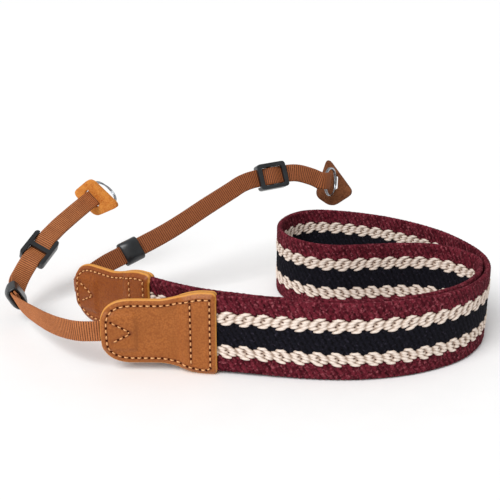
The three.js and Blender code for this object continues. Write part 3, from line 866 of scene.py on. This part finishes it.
def add_webbing(name, path, material, squeeze):
    """Out to the ring, round its wire and back as a second layer, squeezed just past its tab"""
    layer = (WEBBING_THICK + WEBBING_GAP) / 2
    step = RIB_PITCH / 4
    single = np.arange(0, path.tail_end, step)
    doubled = np.linspace(path.tail_end, path.length, int((path.length - path.tail_end) / step))
    parts = []
    points, _, width, normal = path.frames(single)
    points = points + normal * (layer * smooth(WEBBING_IN_TAB, path.tail_end, single))[:, None]
    parts.append((points, width, normal))
    opening = smooth(path.length - LOOP_OPENS, path.length - LOOP_OPEN, doubled)
    stand = layer + opening * (LOOP_RADIUS - layer)
    points, _, width, normal = path.frames(doubled)
    parts.append((points + normal * (stand + path.weave(doubled))[:, None], width, normal))
    end, along, wide, face = (item[0] for item in path.frames(np.array([path.length])))
    angle = np.linspace(0, math.pi, 32)[1:-1, None]
    turned = face * np.cos(angle) + along * np.sin(angle)
    parts.append((end + turned * LOOP_RADIUS, np.broadcast_to(wide, turned.shape), turned))
    back = points + normal * (path.weave(doubled) - stand)[:, None]
    parts.append((back[::-1], width[::-1], -normal[::-1]))
    points, width, normal = (np.concatenate(group) for group in zip(*parts))
    run = np.concatenate([[0], np.cumsum(np.linalg.norm(np.diff(points, axis=0), axis=1))])
    to_ring = np.abs(run - (path.length + math.pi * LOOP_RADIUS / 2))
    ribbed = smooth(4, 7, to_ring)
    wave = 0.5 + 0.5 * np.cos(math.tau * run / RIB_PITCH)
    angle = (np.arange(WEBBING_SIDES) + 0.5) * math.tau / WEBBING_SIDES
    round_x = boxy(np.cos(angle), 0.45)
    round_y = boxy(np.sin(angle), 0.35)
    half_thick = WEBBING_THICK / 2 - RIB_DEPTH * ribbed * (1 - wave)
    at_tip = np.exp(-((run - WEBBING_IN_TAB - SQUEEZE_AT) / SQUEEZE_RUN) ** 2)
    squeezed = WEBBING_WIDTH / 2 * (1 - squeeze * at_tip)
    half_width = squeezed - RIB_EDGE_DEPTH * ribbed * (1 - wave)
    place = (
        points[:, None]
        + normal[:, None] * (half_thick[:, None] * round_x)[..., None]
        + width[:, None] * (half_width[:, None] * round_y)[..., None]
    )
    shape = place.shape[:2]
    # Phase of the ribs, which the material paints as highlight and shade; mid-way where the webbing
    # is smooth
    rib = np.broadcast_to((wave * ribbed + 0.45 * (1 - ribbed))[:, None], shape)
    across = (round_y * WEBBING_WIDTH / 2)[None, :]
    fibre = np.stack(np.broadcast_arrays(run[:, None], across, round_x[None, :]), axis=-1)
    fields = {"rib": rib.ravel(), "fibre": fibre.reshape(-1, 3)}
    faces = grid_quads(shape[0], shape[1], True)
    last = (shape[0] - 1) * shape[1]
    caps = []
    quarter = WEBBING_SIDES // 4
    for i in range(WEBBING_SIDES // 2 - 1):
        steps = (quarter + i, quarter + i + 1, quarter - 2 - i, quarter - 1 - i)
        a, b, c, d = (step_round % WEBBING_SIDES for step_round in steps)
        caps.append([d, c, b, a])
        caps.append([last + a, last + b, last + c, last + d])
    faces = np.vstack([faces, np.array(caps)])
    add_piece(
        f"{name}_ribs", place.reshape(-1, 3), faces, material, fields, [name],
    )


# Hard pieces and the leather at the rings

def add_rounded(node, name, width, material):
    """A copy of a CAD node with its edges rounded over a width, which stands for it"""
    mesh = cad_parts[node].data.copy()
    mesh.name = name
    work = bmesh.new()
    work.from_mesh(mesh)
    bmesh.ops.remove_doubles(work, verts=work.verts, dist=1e-6)
    bmesh.ops.dissolve_limit(
        work, angle_limit=math.radians(1.5), verts=work.verts, edges=work.edges,
    )
    sharp = [edge for edge in work.edges if edge.calc_face_angle(0) > math.radians(40)]
    bmesh.ops.bevel(
        work, geom=sharp, offset=width * MM, segments=3, profile=0.5,
        affect="EDGES", clamp_overlap=True,
    )
    bmesh.ops.triangulate(work, faces=[face for face in work.faces if len(face.verts) > 4])
    work.to_mesh(mesh)
    work.free()
    mesh.materials.clear()
    mesh.materials.append(material)
    mesh.shade_smooth()
    mesh.set_sharp_from_angle(angle=math.radians(32))
    piece = bpy.data.objects.new(name, mesh)
    bpy.context.scene.collection.objects.link(piece)
    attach(piece, "root")
    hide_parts(node)


KEEPER_LENGTH, KEEPER_WIDTH, KEEPER_WALL, KEEPER_SLOT, KEEPER_DOME = 11.0, 13.0, 1.1, 4.2, 1.8
# How far its mouths are rounded, and the share of its height that they lose
KEEPER_LIP, KEEPER_BARREL = 0.5, 0.34


def add_keeper(name, path):
    """A moulded sleeve, domed both ways on its front, with its mouths rounded"""
    point, along, _, face = (item[0] for item in path.frames(np.array([path.keeper_at])))
    across = np.cross(face, along)
    sides = 64
    around = np.arange(sides) * math.tau / sides
    cos, sin = np.cos(around), np.sin(around)
    back = KEEPER_SLOT / 2 + KEEPER_WALL
    round_x = boxy(cos, 0.5)
    front = (back - 0.1 + KEEPER_DOME) * np.abs(sin)
    round_y = np.where(sin > 0, front, -back * np.abs(sin) ** 0.45)
    hole_x = boxy(cos, 0.22) * (KEEPER_WIDTH / 2 - KEEPER_WALL)
    hole_y = boxy(sin, 0.22) * KEEPER_SLOT / 2
    half = KEEPER_LENGTH / 2
    rings = []
    for angle in np.linspace(-math.pi / 2, math.pi / 2, 33):
        run = math.sin(angle)
        lip = KEEPER_LIP * (1 - min(1.0, (1 - abs(run)) / 0.1) ** 0.5)
        barrel = 1 - KEEPER_BARREL * run * run
        x = round_x * (KEEPER_WIDTH / 2 - lip)
        y = np.where(round_y > 0, round_y * barrel, round_y) - np.sign(round_y) * lip
        rings.append((x, y, half * run))
    for run in np.linspace(1, -1, 9):
        rings.append((hole_x, hole_y, half * 0.985 * run))
    points = [
        point + x[:, None] * across + y[:, None] * face + z * along
        for x, y, z in rings
    ]
    points = np.array(points)
    quads = grid_quads(len(rings), sides, True)
    last = (len(rings) - 1) * sides
    column = np.arange(sides)
    after = (column + 1) % sides
    closing = np.stack([last + column, last + after, after, column], axis=-1)
    faces = np.vstack([quads, closing])
    add_piece(
        f"{name}_moulding", points.reshape(-1, 3), faces, PLASTIC, None, [name],
    )


def add_ring(name, path, turn):
    """A split ring: two turns of flat wire, side by side, with the ends stepped over"""
    end, _, width, _ = (item[0] for item in path.frames(np.array([path.length])))
    outwards = np.array(turn, float)
    outwards = unit(outwards - width * outwards.dot(width))
    centre = end + outwards * (RING_RADIUS - RING_SET_BACK)
    axis = np.cross(width, outwards)
    turns, steps, sides = 2, 160, 12
    part = np.linspace(0, 1, steps)
    angle = part * turns * math.tau + 0.6
    pitch = RING_THICK / 2
    level = pitch * (smooth(0.44, 0.56, part) - 0.5)
    radial = outwards * np.cos(angle)[:, None] + width * np.sin(angle)[:, None]
    middle = centre + radial * RING_RADIUS + axis * level[:, None]
    around = np.arange(sides) * math.tau / sides
    thick = boxy(np.cos(around), 0.6) * RING_WIRE / 2
    tall = boxy(np.sin(around), 0.6) * pitch / 2 * 0.94
    slim = np.minimum(1, 0.25 + 12 * np.minimum(part, 1 - part))[:, None]
    points = (
        middle[:, None]
        + radial[:, None] * (slim * thick)[..., None]
        - axis * (slim * tall)[..., None]
    )
    faces = grid_quads(steps, sides, True)
    last = (steps - 1) * sides
    caps = []
    for i in range(sides // 2 - 1):
        near = [i, i + 1, sides - 2 - i, sides - 1 - i]
        caps.append(near[::-1])
        caps.append([last + corner for corner in near])
    faces = np.vstack([faces, np.array(caps)])
    add_piece(f"{name}_turns", points.reshape(-1, 3), faces, STEEL, None, [name])


add_band()
add_tab("front_tab", front_tab_frames, TAN, DARK_HOLE_SHADE)
add_tab("back_tab", back_tab_frames, RUST, PALE_HOLE_SHADE)
left = Webbing(LEFT_ROWS, front_tab_frames, outward=1, keeper_row=6, slider_row=11)
right = Webbing(RIGHT_ROWS, back_tab_frames, outward=-1, keeper_row=6, slider_row=14)
add_webbing("webbing_left", left, NYLON, squeeze=0.0)
add_webbing("webbing_right", right, SHADED_NYLON, squeeze=0.42)
add_ring("ring_left", left, (0.27, 0.94, -0.07))
add_ring("ring_right", right, (0.47, 0.87, -0.1))
add_keeper("keeper_left", left)
add_keeper("keeper_right", right)
for side_name in ("left", "right"):
    slider = f"slider_{side_name}"
    add_rounded(slider, f"{slider}_moulding", 0.4, PLASTIC)
add_rounded("protector_left", "protector_left_hide", 0.3, SUEDE)
add_rounded("protector_right", "protector_right_hide", 0.5, SHADED_SUEDE)

# Floor and light

floor_mesh = bpy.data.meshes.new("floor")
reach = 30.0
level = FLOOR * MM
corners = [
    (-reach, -reach, level), (reach, -reach, level), (reach, reach, level), (-reach, reach, level),
]
floor_mesh.from_pydata(corners, [], [(0, 1, 2, 3)])
floor_mesh.materials.append(floor_material())
floor = bpy.data.objects.new("floor", floor_mesh)
bpy.context.scene.collection.objects.link(floor)

sun = bpy.data.lights.new("key", "SUN")
sun.energy = 2.5
sun.angle = math.radians(40)
key = bpy.data.objects.new("key", sun)
key.rotation_euler = (math.radians(42), 0, math.radians(-38))
bpy.context.scene.collection.objects.link(key)

world = bpy.data.worlds.new("studio")
world.use_nodes = True
world.node_tree.nodes["Background"].inputs[0].default_value = (1, 1, 1, 1)
world.node_tree.nodes["Background"].inputs[1].default_value = 0.55
bpy.context.scene.world = world
bpy.context.scene.view_settings.view_transform = "Standard"
